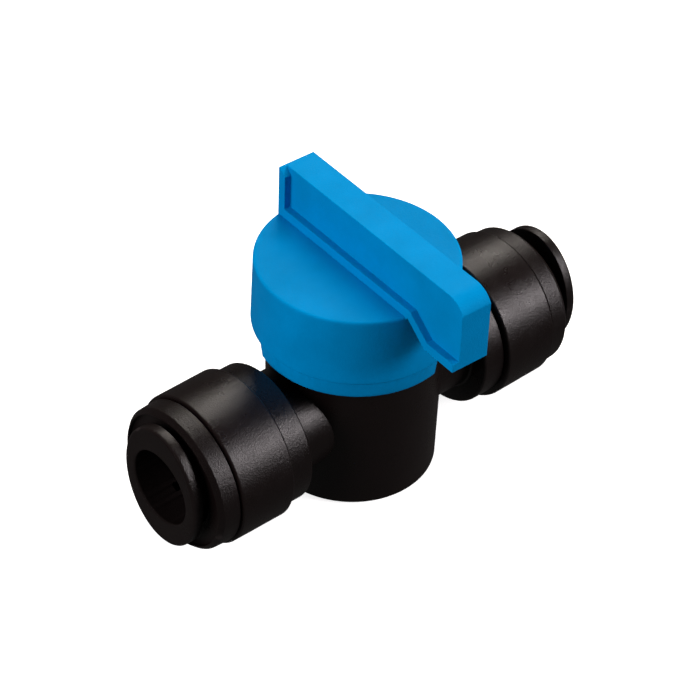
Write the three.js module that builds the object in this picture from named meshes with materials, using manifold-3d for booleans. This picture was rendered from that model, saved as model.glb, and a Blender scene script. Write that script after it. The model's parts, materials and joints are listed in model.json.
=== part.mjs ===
// Quarter-turn ball valve with a push-fit socket for a 10 mm tube at each end.
// Units are millimetres. +Z is up along the stem, +X runs along the pipe, and the origin is
// the centre of the barrel's flat underside. The valve is drawn closed.
import * as THREE from 'three';
import { mergeVertices } from 'three/addons/utils/BufferGeometryUtils.js';
import Module from 'manifold-3d';

const wasm = await Module();
wasm.setup();

// ---- Driving dimensions ----------------------------------------------------------------

const tubeDiameter = 10;           // outside diameter of the tube that the valve takes
const tubeClearance = 0.3;         // on the diameter, where the tube slides in
const waterwayRadius = 3.6;        // bore through the body and the ball
const fit = 0.2;                   // gap between pieces that touch on the real valve
const turningFit = 0.3;            // gap between a turning piece and a still one
const overlap = 0.5;               // how far shapes that are joined reach into each other

const pipeHeight = 11.1;           // from the underside to the pipe axis
const barrelBaseRadius = 11.35;
const barrelTopRadius = 11.57;
const barrelTop = 20.2;
const neckRadius = 7.0;

const flangeRadius = 9.65;         // short ring on the body that carries each port socket
const flangeBack = 14.85;          // distances along the pipe are from the stem axis
const flangeFront = 18.3;
const socketRadius = 10.46;
const socketFront = 26.7;
const collarFront = 30.0;

const knobDiscRadius = 13.5;
const knobDiscBottom = 22.45;
const knobTop = 32.45;
const knobRingRadius = 11.65;         // under the disc, where no apron hangs
const apronTopRadius = 13.38;         // part of the knob's wall that hangs lower, over the barrel
const apronFootRadius = 13.05;
const apronBore = 11.9;
const apronBottom = 20.04;
const apronCentre = THREE.MathUtils.degToRad(-135.2); // in the knob's own frame
const apronHalfAngle = THREE.MathUtils.degToRad(57.5);
const bladeTop = 39.8;
const bladeThickness = 5.6;
const bladeTail = 13.0;            // the blade's round-side end, on +Y
const bladeNose = 22.1;            // the pointer end, on -Y

const closedAngle = THREE.MathUtils.degToRad(-2.3);   // the closed stop is just past square
const turnRange = THREE.MathUtils.degToRad(92.3);     // from the closed stop to fully open
const colletTravel = 2.4;
const leftColletPushedIn = 1.8;    // how far the left collet happens to sit in from its stop

const coarseSides = 20;            // facets round the small pieces
const fineSides = 32;              // facets round the large pieces

// ---- Colours and finishes --------------------------------------------------------------

const blueMoulding = { color: 0x0a9bd0, roughness: 0.42, metalness: 0 };
const blackMoulding = { color: 0x1a1614, roughness: 0.5, metalness: 0 };
const blackTrim = { color: 0x211c1a, roughness: 0.45, metalness: 0 };
const rubber = { color: 0x101010, roughness: 0.8, metalness: 0 };
const fluoroplastic = { color: 0xf0efe9, roughness: 0.4, metalness: 0 };
const ballPlastic = { color: 0xd9d8d2, roughness: 0.25, metalness: 0 };
const steel = { color: 0xb9bcc0, roughness: 0.25, metalness: 1 };

// ---- Solids ----------------------------------------------------------------------------

// Gives a closed geometry as a manifold solid, with its faces turned outwards.
function toSolid(geometry) {
  const bare = geometry.clone();
  bare.deleteAttribute('normal');
  bare.deleteAttribute('uv');
  const merged = mergeVertices(bare, 1e-4);
  const place = merged.attributes.position.array;
  const corners = merged.index.array;
  const triangles = [];
  let sixVolumes = 0;
  const a = new THREE.Vector3();
  const b = new THREE.Vector3();
  const c = new THREE.Vector3();
  for (let i = 0; i < corners.length; i += 3) {
    const [p, q, r] = corners.slice(i, i + 3);
    if (p === q || q === r || r === p) {
      continue;
    }
    triangles.push(p, q, r);
    a.fromArray(place, 3 * p);
    b.fromArray(place, 3 * q);
    c.fromArray(place, 3 * r);
    sixVolumes += a.dot(b.cross(c));
  }
  if (sixVolumes < 0) {
    triangles.reverse();
  }
  return new wasm.Manifold(new wasm.Mesh({
    numProp: 3,
    vertProperties: Float32Array.from(place),
    triVerts: Uint32Array.from(triangles),
  }));
}

function toGeometry(solid) {
  const mesh = solid.getMesh();
  const geometry = new THREE.BufferGeometry();
  geometry.setAttribute('position', new THREE.BufferAttribute(mesh.vertProperties, 3));
  geometry.setIndex(new THREE.BufferAttribute(mesh.triVerts, 1));
  geometry.computeVertexNormals();
  return geometry;
}

// Turns a profile of [radius, height] points about Z.
function turned(profile, sides) {
  const points = profile.map(([radius, height]) => new THREE.Vector2(radius, height));
  const geometry = new THREE.LatheGeometry(points, sides);
  geometry.rotateX(Math.PI / 2);
  return toSolid(geometry);
}

// Turns a closed profile, as of a ring, whose last point joins its first.
function turnedRing(profile, sides) {
  return turned([...profile, profile[0]], sides);
}

// Lays a solid that was turned about Z along the pipe, with its top facing away from the stem
// axis. side is 1 for the port on +X and -1 for the port on -X.
function alongPipe(solid, side) {
  return solid.rotate([0, 90 * side, 0]);
}

function cylinder(radius, bottom, top, sides) {
  return turned([[0, bottom], [radius, bottom], [radius, top], [0, top]], sides);
}

// A round seal: a ring of circular section, about Z.
function sealRing(meanRadius, sectionRadius, height, sides) {
  const sectionSides = 8;
  const profile = [];
  for (let i = 0; i < sectionSides; i += 1) {
    const turn = (2 * Math.PI * i) / sectionSides;
    profile.push([meanRadius + sectionRadius * Math.cos(turn), height + sectionRadius * Math.sin(turn)]);
  }
  return turnedRing(profile, sides);
}

function box(low, high) {
  const size = high.map((value, i) => value - low[i]);
  const geometry = new THREE.BoxGeometry(...size);
  geometry.translate(...low.map((value, i) => value + size[i] / 2));
  return toSolid(geometry);
}

// A sector of a ring about Z, between two angles in radians.
function sector(innerRadius, outerRadius, startAngle, endAngle, bottom, top) {
  const shape = new THREE.Shape();
  shape.absarc(0, 0, outerRadius, startAngle, endAngle, false);
  shape.absarc(0, 0, innerRadius, endAngle, startAngle, true);
  shape.closePath();
  const geometry = new THREE.ExtrudeGeometry(shape, {
    depth: top - bottom,
    bevelEnabled: false,
    curveSegments: 10,
  });
  geometry.translate(0, 0, bottom);
  return toSolid(geometry);
}

// Extrudes an outline of [y, z] points along X between two x values.
function sidewaysPrism(outline, lowX, highX) {
  const shape = new THREE.Shape(outline.map(([y, z]) => new THREE.Vector2(y, z)));
  const geometry = new THREE.ExtrudeGeometry(shape, { depth: highX - lowX, bevelEnabled: false });
  // The shape's own x, y and depth become the part's y, z and x.
  geometry.applyMatrix4(new THREE.Matrix4().makeBasis(
    new THREE.Vector3(0, 1, 0),
    new THREE.Vector3(0, 0, 1),
    new THREE.Vector3(1, 0, 0),
  ));
  geometry.translate(lowX, 0, 0);
  return toSolid(geometry);
}

const valve = new THREE.Group();

function place(name, solid, finish, parent = valve) {
  const mesh = new THREE.Mesh(toGeometry(solid), new THREE.MeshStandardMaterial(finish));
  mesh.name = name;
  parent.add(mesh);
  return mesh;
}

// ---- Heights along the stem ------------------------------------------------------------

const ballRadius = 6.9;
const cavityRadius = 8.0;
const cavityFloor = pipeHeight - ballRadius - 0.4;
const slotDepth = 2.0;
const slotWidth = 2.8;
const slotFloor = ballRadius - slotDepth;              // above the ball's centre

const stemFlangeRadius = 4.6;
const stemFlangeBottom = pipeHeight + ballRadius + 0.4;
const stemFlangeTop = stemFlangeBottom + 1.4;
const washerThickness = 0.35;
const bonnetBottom = stemFlangeTop + washerThickness + 0.3;
const turretRadius = 9.4;
const turretTop = bonnetBottom + 4.1;
const bonnetTop = turretTop + 1.5;
const stemRadius = 3.3;
const stemBoreRadius = stemRadius + turningFit;
const stemSealSection = 0.58;
const stemGrooveWidth = 1.4;
const stemGrooveRadius = 2.25;
const stemGrooves = [bonnetBottom + 0.7, bonnetBottom + 3.2];   // lower edge of each groove
const squareHalf = 2.3;
const stemTop = knobTop - 2.25;

// ---- Body ------------------------------------------------------------------------------

const seatPocketRadius = 5.3;
const seatPocketEnd = 10.6;
const spigotPocketRadius = 7.8;
const spigotPocketFloor = 16.2;
const stopHalfAngle = THREE.MathUtils.degToRad(12);
const stopAngle = Math.PI;                             // the body's stop lug faces -X
const stopTop = 21.9;
const stopRadius = 10.6;

function buildBody() {
  const edge = 0.4;
  let body = turned([
    [0, 0],
    [barrelBaseRadius - edge, 0],
    [barrelBaseRadius, edge],
    [barrelTopRadius, barrelTop],
    [turretRadius, barrelTop],
    [turretRadius, turretTop],
    [0, turretTop],
  ], fineSides);
  body = body.add(sector(
    turretRadius - overlap, stopRadius,
    stopAngle - stopHalfAngle, stopAngle + stopHalfAngle,
    barrelTop - overlap, stopTop,
  ));
  for (const side of [-1, 1]) {
    const neck = turned([
      [0, 0],
      [neckRadius, 0],
      [neckRadius, flangeBack],
      [flangeRadius - edge, flangeBack],
      [flangeRadius, flangeBack + edge],
      [flangeRadius, flangeFront],
      [0, flangeFront],
    ], fineSides);
    body = body.add(alongPipe(neck, side).translate([0, 0, pipeHeight]));
  }
  body = body.subtract(cylinder(cavityRadius, cavityFloor, turretTop + 1, fineSides));
  for (const side of [-1, 1]) {
    const hollow = turned([
      [0, 0],
      [seatPocketRadius, 0],
      [seatPocketRadius, seatPocketEnd],
      [waterwayRadius, seatPocketEnd],
      [waterwayRadius, spigotPocketFloor],
      [spigotPocketRadius, spigotPocketFloor],
      [spigotPocketRadius, flangeFront + 1],
      [0, flangeFront + 1],
    ], fineSides);
    body = body.subtract(alongPipe(hollow, side).translate([0, 0, pipeHeight]));
  }
  return body;
}

place('valve_body', buildBody(), blackMoulding);

// ---- Pieces round the stem that stay still ---------------------------------------------

const bonnetGrooveRadius = 6.6;
const bonnetGrooveBottom = bonnetBottom + 1.1;
const bonnetGrooveTop = bonnetGrooveBottom + 1.6;
const bonnetRadius = cavityRadius - fit;

place('bonnet', turnedRing([
  [stemBoreRadius, bonnetBottom],
  [bonnetRadius, bonnetBottom],
  [bonnetRadius, bonnetGrooveBottom],
  [bonnetGrooveRadius, bonnetGrooveBottom],
  [bonnetGrooveRadius, bonnetGrooveTop],
  [bonnetRadius, bonnetGrooveTop],
  [bonnetRadius, turretTop + fit],
  [turretRadius, turretTop + fit],
  [turretRadius, bonnetTop],
  [stemBoreRadius, bonnetTop],
], fineSides), blackTrim);

const bonnetSealSection = 0.6;
place('bonnet_seal', sealRing(
  bonnetGrooveRadius + bonnetSealSection + 0.05,
  bonnetSealSection,
  (bonnetGrooveBottom + bonnetGrooveTop) / 2,
  fineSides,
), rubber);

const washerBottom = stemFlangeTop + 0.15;
place('thrust_washer', turnedRing([
  [stemRadius + fit, washerBottom],
  [stemFlangeRadius - 0.1, washerBottom],
  [stemFlangeRadius - 0.1, washerBottom + washerThickness],
  [stemRadius + fit, washerBottom + washerThickness],
], coarseSides), fluoroplastic);

// ---- Pieces that turn: knob, stem, stem seals and ball ---------------------------------

const turning = new THREE.Group();
turning.rotation.z = closedAngle;
valve.add(turning);

const reach = 20;                                      // past any surface that a cutter crosses

function buildBall() {
  let ball = toSolid(new THREE.SphereGeometry(ballRadius, fineSides, fineSides / 2));
  ball = ball.subtract(cylinder(waterwayRadius, -reach, reach, coarseSides).rotate([90, 0, 0]));
  ball = ball.subtract(box([-reach, -slotWidth / 2, slotFloor], [reach, slotWidth / 2, reach]));
  return ball;
}

place('ball', buildBall(), ballPlastic, turning).position.z = pipeHeight;

function buildStem() {
  const profile = [
    [0, stemFlangeBottom],
    [stemFlangeRadius, stemFlangeBottom],
    [stemFlangeRadius, stemFlangeTop],
    [stemRadius, stemFlangeTop],
  ];
  for (const bottom of stemGrooves) {
    profile.push([stemRadius, bottom], [stemGrooveRadius, bottom]);
    profile.push([stemGrooveRadius, bottom + stemGrooveWidth], [stemRadius, bottom + stemGrooveWidth]);
  }
  profile.push([stemRadius, bonnetTop + fit], [0, bonnetTop + fit]);
  const keyHalfLength = 4.0;
  const keyHalfWidth = slotWidth / 2 - fit;
  const key = box(
    [-keyHalfLength, -keyHalfWidth, pipeHeight + slotFloor + fit],
    [keyHalfLength, keyHalfWidth, stemFlangeBottom + overlap],
  );
  const square = box([-squareHalf, -squareHalf, bonnetTop - overlap], [squareHalf, squareHalf, stemTop]);
  return turned(profile, coarseSides).add(key).add(square);
}

place('stem', buildStem(), blackTrim, turning);

['stem_seal_lower', 'stem_seal_upper'].forEach((name, i) => {
  const height = stemGrooves[i] + stemGrooveWidth / 2;
  const meanRadius = stemGrooveRadius + stemSealSection + 0.07;
  place(name, sealRing(meanRadius, stemSealSection, height, coarseSides), rubber, turning);
});

// ---- Knob ------------------------------------------------------------------------------

const knobBottom = barrelTop + turningFit;
const knobRingBore = 10.0;
const stopGrooveRadius = 10.9;
const knobCavityRadius = 11.4;
const knobCeiling = knobTop - 2.85;
const hubRadius = 4.6;
const hubBottom = bonnetTop + 0.45;

const lip = 1.3;                                       // width of the lips round the recess
const recessDepth = 1.07;
const tailCutDepth = 1.0;                              // the tail's lip is cut away at its top
const tailCutRest = 0.25;
const noseBottom = 29.75;
const noseArcRadius = 3.32;                            // the blade's top rolls down to the nose
const noseArcSweep = THREE.MathUtils.degToRad(61);
const noseArcLength = noseArcRadius * Math.sin(noseArcSweep);
const noseArcDrop = noseArcRadius * (1 - Math.cos(noseArcSweep));
const slopeTop = knobDiscRadius - 0.23;                // where the nose's underside leaves the disc
const slopeFoot = 16.65;                               // where it runs level

function noseArc() {
  const steps = 5;
  const points = [];
  for (let i = 0; i <= steps; i += 1) {
    const turn = (noseArcSweep * i) / steps;
    points.push([
      -bladeNose + noseArcLength - noseArcRadius * Math.sin(turn),
      bladeTop - noseArcRadius * (1 - Math.cos(turn)),
    ]);
  }
  return points;
}

// The blade's side outline, as [y, z].
const bladeOutline = [
  [bladeTail, knobTop - 1.5],
  [bladeTail, bladeTop],
  ...noseArc(),
  [-bladeNose, noseBottom],
  [-slopeFoot, noseBottom],
  [-slopeTop, knobTop],
  [-slopeTop + 1, knobTop - 1.5],
];

// The lower edge of a recess, one lip inside the outline, from the nose to the tail.
const slope = new THREE.Vector2(slopeFoot - slopeTop, knobTop - noseBottom).normalize();
const recessStart = knobTop + lip;
const recessSlopeTop = slopeTop + lip / slope.y - (lip * slope.x) / slope.y;
const recessSlopeFoot = recessSlopeTop + ((recessStart - noseBottom - lip) * slope.x) / slope.y;
const recessEdge = [
  [-recessSlopeFoot, noseBottom + lip],
  [-recessSlopeTop, recessStart],
  [bladeTail - lip, recessStart],
];

function buildKnob() {
  let knob = turned([
    [0, knobBottom],
    [knobRingRadius, knobBottom],
    [knobRingRadius, knobDiscBottom],
    [knobDiscRadius, knobDiscBottom],
    [knobDiscRadius - 0.23, knobTop - 0.35],
    [knobDiscRadius - 0.55, knobTop],
    [0, knobTop],
  ], fineSides);
  // The apron is joined to the ring, and its lower edge hangs clear of the barrel.
  const apronRing = turnedRing([
    [apronBore, apronBottom],
    [apronFootRadius, apronBottom],
    [apronTopRadius, knobDiscBottom],
    [apronTopRadius, knobDiscBottom + overlap],
    [knobRingRadius - overlap, knobDiscBottom + overlap],
    [knobRingRadius - overlap, knobBottom],
    [apronBore, knobBottom],
  ], fineSides);
  knob = knob.add(apronRing.intersect(sector(
    1, reach, apronCentre - apronHalfAngle, apronCentre + apronHalfAngle, 0, knobTop,
  )));
  knob = knob.add(sidewaysPrism(bladeOutline, -bladeThickness / 2, bladeThickness / 2));

  // The recess on the -X side runs out through the top and the nose.
  const openRecess = [
    ...recessEdge,
    [bladeTail - lip, bladeTop - tailCutDepth],
    [bladeTail - tailCutRest, bladeTop],
    [bladeTail - tailCutRest, bladeTop + 1],
    [-bladeNose - 1, bladeTop + 1],
    [-bladeNose - 1, noseBottom + lip],
  ];
  knob = knob.subtract(sidewaysPrism(openRecess, -reach, -bladeThickness / 2 + recessDepth));

  // The pocket on the +X side keeps a lip all round.
  const pocket = [
    ...recessEdge,
    [bladeTail - lip, bladeTop - lip],
    [-bladeNose + noseArcLength + lip / 2, bladeTop - lip],
    [-bladeNose + lip, bladeTop - noseArcDrop - lip / 2],
    [-bladeNose + lip, noseBottom + lip],
  ];
  knob = knob.subtract(sidewaysPrism(pocket, bladeThickness / 2 - recessDepth, reach));

  // Hollow underside, with a hub on the stem's square and four ribs.
  const hollow = turned([
    [0, knobBottom - 1],
    [knobRingBore, knobBottom - 1],
    [knobRingBore, knobDiscBottom],
    [knobCavityRadius, knobDiscBottom + 1],
    [knobCavityRadius, knobCeiling - 1],
    [knobCavityRadius - 1, knobCeiling],
    [0, knobCeiling],
  ], fineSides);
  knob = knob.subtract(hollow);
  knob = knob.add(cylinder(hubRadius, hubBottom, knobCeiling + overlap, coarseSides));
  const ribHalf = 0.7;
  const ribBottom = knobCeiling - 2;
  const ribEnd = knobCavityRadius + overlap;
  knob = knob.add(box([-ribEnd, -ribHalf, ribBottom], [ribEnd, ribHalf, knobCeiling + overlap]));
  knob = knob.add(box([-ribHalf, -ribEnd, ribBottom], [ribHalf, ribEnd, knobCeiling + overlap]));
  const socketHalf = squareHalf + fit;
  knob = knob.subtract(box(
    [-socketHalf, -socketHalf, hubBottom - 1],
    [socketHalf, socketHalf, stemTop + fit],
  ));

  // Groove inside the ring that lets the body's stop lug pass through the turn.
  const stopSlack = THREE.MathUtils.degToRad(0.8);
  const grooveStart = stopAngle - closedAngle - stopHalfAngle - turnRange - stopSlack;
  const grooveEnd = stopAngle - closedAngle + stopHalfAngle + stopSlack;
  knob = knob.subtract(sector(
    knobRingBore - 1, stopGrooveRadius, grooveStart, grooveEnd, knobBottom - 1, stopTop + turningFit,
  ));
  return knob;
}

place('knob', buildKnob(), blueMoulding, turning);

// ---- Ports -----------------------------------------------------------------------------

const tubeBore = (tubeDiameter + tubeClearance) / 2;
const tubeStop = 17.0;                                 // the tube's end rests here
const sealSeatBack = 19.4;
const sealSeatFront = 21.7;
const sealSeatRadius = 7.2;
const socketBore = 8.2;
const spacerThickness = 0.9;
const cartridgeBack = sealSeatFront + spacerThickness + 0.35;
const collarRadius = 10.0;
const mouthRadius = 9.15;
const mouthFloor = 29.3;
const throatRadius = 6.4;
const coneWide = 7.3;
const coneStart = 25.0;
const coneEnd = 28.2;

// The collet, where it stands when it is fully out.
const colletFace = 33.8;
const colletFlangeThickness = 1.5;
const colletFlangeHalfWidth = 7.12;                    // along Y
const colletFlangeHalfHeight = 8.84;                   // along Z
const colletSleeveRadius = 5.95;
const colletTip = cartridgeBack + 0.05 + colletTravel;
const colletShoulder = colletTip + 2.4;
const coneSlope = (coneWide - throatRadius) / (coneEnd - coneStart);
const colletTipRadius = coneWide - (colletTip - coneStart) * coneSlope - fit;
const colletShoulderRadius = colletTipRadius - (colletShoulder - colletTip) * coneSlope;
const fingers = 6;
const slitWidth = 1.2;
const slitStop = 2.8;                                  // sleeve left whole behind the flange
const toothPlace = colletTip + 0.9;
const toothThickness = 0.4;
const toothTipRadius = 4.8;
const toothRootRadius = 6.2;
const toothHalfWidth = 1.2;
const toothGap = 0.15;

function seatSolid() {
  const front = 5.0;
  const cone = 1.1;
  const back = 8.8;
  return turnedRing([
    [waterwayRadius + 0.1, front + cone],
    [seatPocketRadius - fit, front],
    [seatPocketRadius - fit, back],
    [waterwayRadius + 0.1, back],
  ], coarseSides);
}

function seatSealSolid() {
  const section = 0.7;
  const meanRadius = (waterwayRadius + seatPocketRadius) / 2;
  return sealRing(meanRadius, section, seatPocketEnd - section - fit, coarseSides);
}

function socketSolid() {
  const back = flangeFront + fit;
  const edge = 0.25;
  return turnedRing([
    [waterwayRadius, spigotPocketFloor + fit],
    [spigotPocketRadius - fit, spigotPocketFloor + fit],
    [spigotPocketRadius - fit, back],
    [socketRadius - edge, back],
    [socketRadius, back + edge],
    [socketRadius - 0.07, socketFront - edge],
    [socketRadius - 0.07 - edge, socketFront],
    [socketBore, socketFront],
    [socketBore, sealSeatFront],
    [sealSeatRadius, sealSeatFront],
    [sealSeatRadius, sealSeatBack],
    [tubeBore + 0.1, sealSeatBack],
    [tubeBore + 0.1, tubeStop],
    [waterwayRadius, tubeStop],
  ], fineSides);
}

function tubeSealSolid() {
  const section = 1.0;
  const squeeze = 0.15;
  const meanRadius = tubeDiameter / 2 - squeeze + section;
  return sealRing(meanRadius, section, (sealSeatBack + sealSeatFront) / 2, coarseSides);
}

function spacerSolid() {
  const back = sealSeatFront + 0.15;
  return turnedRing([
    [tubeBore + 0.25, back],
    [socketBore - fit, back],
    [socketBore - fit, back + spacerThickness],
    [tubeBore + 0.25, back + spacerThickness],
  ], fineSides);
}

function cartridgeSolid() {
  return turnedRing([
    [coneWide, cartridgeBack],
    [socketBore - fit, cartridgeBack],
    [socketBore - fit, socketFront + fit],
    [collarRadius, socketFront + fit],
    [collarRadius - 0.13, collarFront - 0.65],
    [mouthRadius + 0.15, collarFront],
    [mouthRadius, collarFront - 0.05],
    [mouthRadius, mouthFloor],
    [throatRadius, mouthFloor],
    [throatRadius, coneEnd],
    [coneWide, coneStart],
  ], fineSides);
}

function colletSolid() {
  const flangeBackFace = colletFace - colletFlangeThickness;
  const sleeve = turnedRing([
    [tubeBore, colletTip],
    [colletTipRadius, colletTip],
    [colletShoulderRadius, colletShoulder],
    [colletSleeveRadius, colletShoulder],
    [colletSleeveRadius, flangeBackFace + overlap],
    [tubeBore, flangeBackFace + overlap],
  ], fineSides);
  // The oval is drawn with its long way on the shape's x, which alongPipe turns to the part's z.
  const oval = new THREE.Shape();
  oval.absellipse(0, 0, colletFlangeHalfHeight, colletFlangeHalfWidth, 0, 2 * Math.PI);
  const flangeGeometry = new THREE.ExtrudeGeometry(oval, {
    depth: colletFlangeThickness,
    bevelEnabled: false,
    curveSegments: fineSides / 2,
  });
  flangeGeometry.translate(0, 0, flangeBackFace);
  let collet = sleeve.add(toSolid(flangeGeometry));
  collet = collet.subtract(cylinder(tubeBore, colletTip + 1, colletFace + 1, fineSides));
  for (let i = 0; i < fingers; i += 1) {
    const turn = (360 * i) / fingers;
    const slit = box(
      [0, -slitWidth / 2, colletTip - 1],
      [reach, slitWidth / 2, flangeBackFace - slitStop],
    );
    const pocket = box(
      [tubeBore - 1, -toothHalfWidth - toothGap, toothPlace - toothGap],
      [toothRootRadius + toothGap, toothHalfWidth + toothGap, toothPlace + toothThickness + toothGap],
    );
    collet = collet.subtract(slit.rotate([0, 0, turn + 180 / fingers]));
    collet = collet.subtract(pocket.rotate([0, 0, turn]));
  }
  return collet;
}

// One steel tooth, standing on the +X side of the axis before it is turned to its finger.
function toothSolid() {
  const outline = new THREE.Shape([
    new THREE.Vector2(toothRootRadius, -toothHalfWidth),
    new THREE.Vector2(toothRootRadius, toothHalfWidth),
    new THREE.Vector2(toothTipRadius + 0.35, toothHalfWidth),
    new THREE.Vector2(toothTipRadius, toothHalfWidth - 0.5),
    new THREE.Vector2(toothTipRadius, -toothHalfWidth + 0.5),
    new THREE.Vector2(toothTipRadius + 0.35, -toothHalfWidth),
  ]);
  const geometry = new THREE.ExtrudeGeometry(outline, { depth: toothThickness, bevelEnabled: false });
  geometry.translate(0, 0, toothPlace);
  return toSolid(geometry);
}

const ports = [
  { word: 'left', side: -1, colletIn: leftColletPushedIn },
  { word: 'right', side: 1, colletIn: 0 },
];

for (const { word, side, colletIn } of ports) {
  const port = new THREE.Group();
  port.position.z = pipeHeight;
  valve.add(port);
  const still = [
    ['seat', seatSolid(), fluoroplastic],
    ['seat_seal', seatSealSolid(), rubber],
    ['port_socket', socketSolid(), blackMoulding],
    ['tube_seal', tubeSealSolid(), rubber],
    ['seal_spacer', spacerSolid(), blackTrim],
    ['cartridge', cartridgeSolid(), blackTrim],
  ];
  for (const [name, solid, finish] of still) {
    place(`${name}_${word}`, alongPipe(solid, side), finish, port);
  }
  const sliding = new THREE.Group();
  sliding.position.x = -side * colletIn;
  port.add(sliding);
  place(`collet_${word}`, alongPipe(colletSolid(), side), blackTrim, sliding);
  for (let i = 0; i < fingers; i += 1) {
    const tooth = toothSolid().rotate([0, 0, (360 * i) / fingers]);
    place(`collet_tooth_${word}_${i + 1}`, alongPipe(tooth, side), steel, sliding);
  }
}

export default valve;
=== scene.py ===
"""An inline push-fit ball valve, black with a blue knob.

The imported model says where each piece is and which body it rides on. This script builds a
fine-meshed piece for every node, gives it a procedural material, and sets up a plain studio.
Shapes are drawn in millimetres and scaled to metres when they are finished. +Z is up along
the stem, +X runs along the pipe, and the origin is the centre of the barrel's underside.
"""

import json
import math

import bmesh
import bpy
from mathutils import Matrix, Vector

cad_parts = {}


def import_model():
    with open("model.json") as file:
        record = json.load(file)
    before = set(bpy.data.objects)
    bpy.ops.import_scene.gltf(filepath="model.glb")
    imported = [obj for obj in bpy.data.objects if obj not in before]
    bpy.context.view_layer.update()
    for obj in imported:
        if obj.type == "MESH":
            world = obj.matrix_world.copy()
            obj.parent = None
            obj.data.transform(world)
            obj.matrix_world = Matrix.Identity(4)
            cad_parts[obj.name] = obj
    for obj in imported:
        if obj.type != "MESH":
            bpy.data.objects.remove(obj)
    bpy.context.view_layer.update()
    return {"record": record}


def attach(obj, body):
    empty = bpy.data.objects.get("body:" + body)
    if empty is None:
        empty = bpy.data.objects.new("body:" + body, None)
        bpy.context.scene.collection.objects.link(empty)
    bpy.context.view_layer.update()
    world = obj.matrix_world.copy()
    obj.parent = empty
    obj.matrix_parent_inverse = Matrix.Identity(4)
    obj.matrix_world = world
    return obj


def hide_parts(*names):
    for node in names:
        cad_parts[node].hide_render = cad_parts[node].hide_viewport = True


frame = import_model()

MM = 0.001
ROUND = 144            # steps round a large piece
FINE_ROUND = 192       # steps round the knob
SMALL_ROUND = 96       # steps round a small piece
ARC_STEPS = 4          # steps in a rounded corner
FAR = 20               # further than any cut has to reach
SUNK = 0.5             # how far a joined shape reaches into its neighbour

# ---- Sizes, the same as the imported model's ---------------------------------------------

TUBE_BORE = 5.15
WATERWAY = 3.6
PIPE_HEIGHT = 11.1

BARREL_BASE, BARREL_RIM, BARREL_TOP = 11.35, 11.57, 20.2
NECK = 7.0
FLANGE, FLANGE_BACK, FLANGE_FRONT = 9.65, 14.85, 18.3
SOCKET, SOCKET_FRONT = 10.46, 26.7
COLLAR, COLLAR_FRONT = 10.0, 30.0

DISC, DISC_BOTTOM, KNOB_TOP = 13.5, 22.45, 32.45
DISC_TOP = DISC - 0.23     # the disc tapers upwards a little
KNOB_RING, KNOB_BOTTOM = 11.65, 20.5
APRON_TOP, APRON_FOOT, APRON_BORE, APRON_BOTTOM = 13.38, 13.05, 11.9, 20.04
APRON_CENTRE, APRON_HALF_ANGLE = math.radians(-135.2), math.radians(57.5)
BLADE_TOP, BLADE_HALF = 39.8, 2.8
BLADE_TAIL, BLADE_NOSE = 13.0, 22.1
NOSE_BOTTOM = 29.75
NOSE_ARC, NOSE_SWEEP = 3.32, math.radians(61)
NOSE_LENGTH, NOSE_DROP = NOSE_ARC * math.sin(NOSE_SWEEP), NOSE_ARC * (1 - math.cos(NOSE_SWEEP))
SLOPE_TOP, SLOPE_FOOT = 13.27, 16.65
LIP = 1.3
RECESS_DEPTH = 1.07
TAIL_CUT_DEPTH, TAIL_CUT_REST = 1.0, 0.25

CLOSED_ANGLE = math.radians(-2.3)
TURN_RANGE = math.radians(92.3)
LEFT_COLLET_IN = 1.8
COLLET_TRAVEL = 2.4

BALL = 6.9
CAVITY = 8.0
SLOT_HALF_WIDTH, SLOT_FLOOR = 1.4, 4.9
STEM, STEM_FLANGE = 3.3, 4.6
STEM_FLANGE_BOTTOM = PIPE_HEIGHT + BALL + 0.4
STEM_FLANGE_TOP = STEM_FLANGE_BOTTOM + 1.4
BONNET_BOTTOM = STEM_FLANGE_TOP + 0.65
TURRET, TURRET_TOP = 9.4, BONNET_BOTTOM + 4.1
BONNET_TOP = TURRET_TOP + 1.5
STEM_TOP = KNOB_TOP - 2.25
SQUARE_HALF = 2.3
GAP = 0.2              # between two pieces that meet


# ---- Outlines --------------------------------------------------------------------------

def between(start, end, share):
    """The value a share of the way from start to end."""
    return start + (end - start) * share


def rounded(corners):
    """The points of a closed outline of (a, b, radius) corners, with an arc at each corner. An
    arc takes up less than half of the sides beside it."""
    most = 0.45
    points = []
    for i, (a, b, radius) in enumerate(corners):
        corner = Vector((a, b))
        if radius <= 0:
            points.append(corner)
            continue
        back = Vector(corners[i - 1][:2]) - corner
        ahead = Vector(corners[(i + 1) % len(corners)][:2]) - corner
        half = back.angle(ahead) / 2
        reach = min(radius / math.tan(half), most * back.length, most * ahead.length)
        start = corner + back.normalized() * reach
        end = corner + ahead.normalized() * reach
        centre = corner + (start + end - 2 * corner).normalized() * reach / math.cos(half)
        sweep = math.pi - 2 * half
        for step in range(ARC_STEPS + 1):
            share = step / ARC_STEPS
            first = math.sin((1 - share) * sweep) / math.sin(sweep)
            second = math.sin(share * sweep) / math.sin(sweep)
            points.append(centre + (start - centre) * first + (end - centre) * second)
    return points


def circle(radius, height, count, other_radius=None):
    """A ring of points at a height: a circle, or an oval with two radii."""
    second = radius if other_radius is None else other_radius
    ring = []
    for i in range(count):
        turn = 2 * math.pi * i / count
        ring.append(Vector((radius * math.cos(turn), second * math.sin(turn), height)))
    return ring


# ---- Meshes ----------------------------------------------------------------------------

def to_object(name, mesh):
    """Makes a scene object of a bmesh."""
    bmesh.ops.recalc_face_normals(mesh, faces=mesh.faces)
    data = bpy.data.meshes.new(name)
    mesh.to_mesh(data)
    mesh.free()
    made = bpy.data.objects.new(name, data)
    bpy.context.scene.collection.objects.link(made)
    return made


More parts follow.
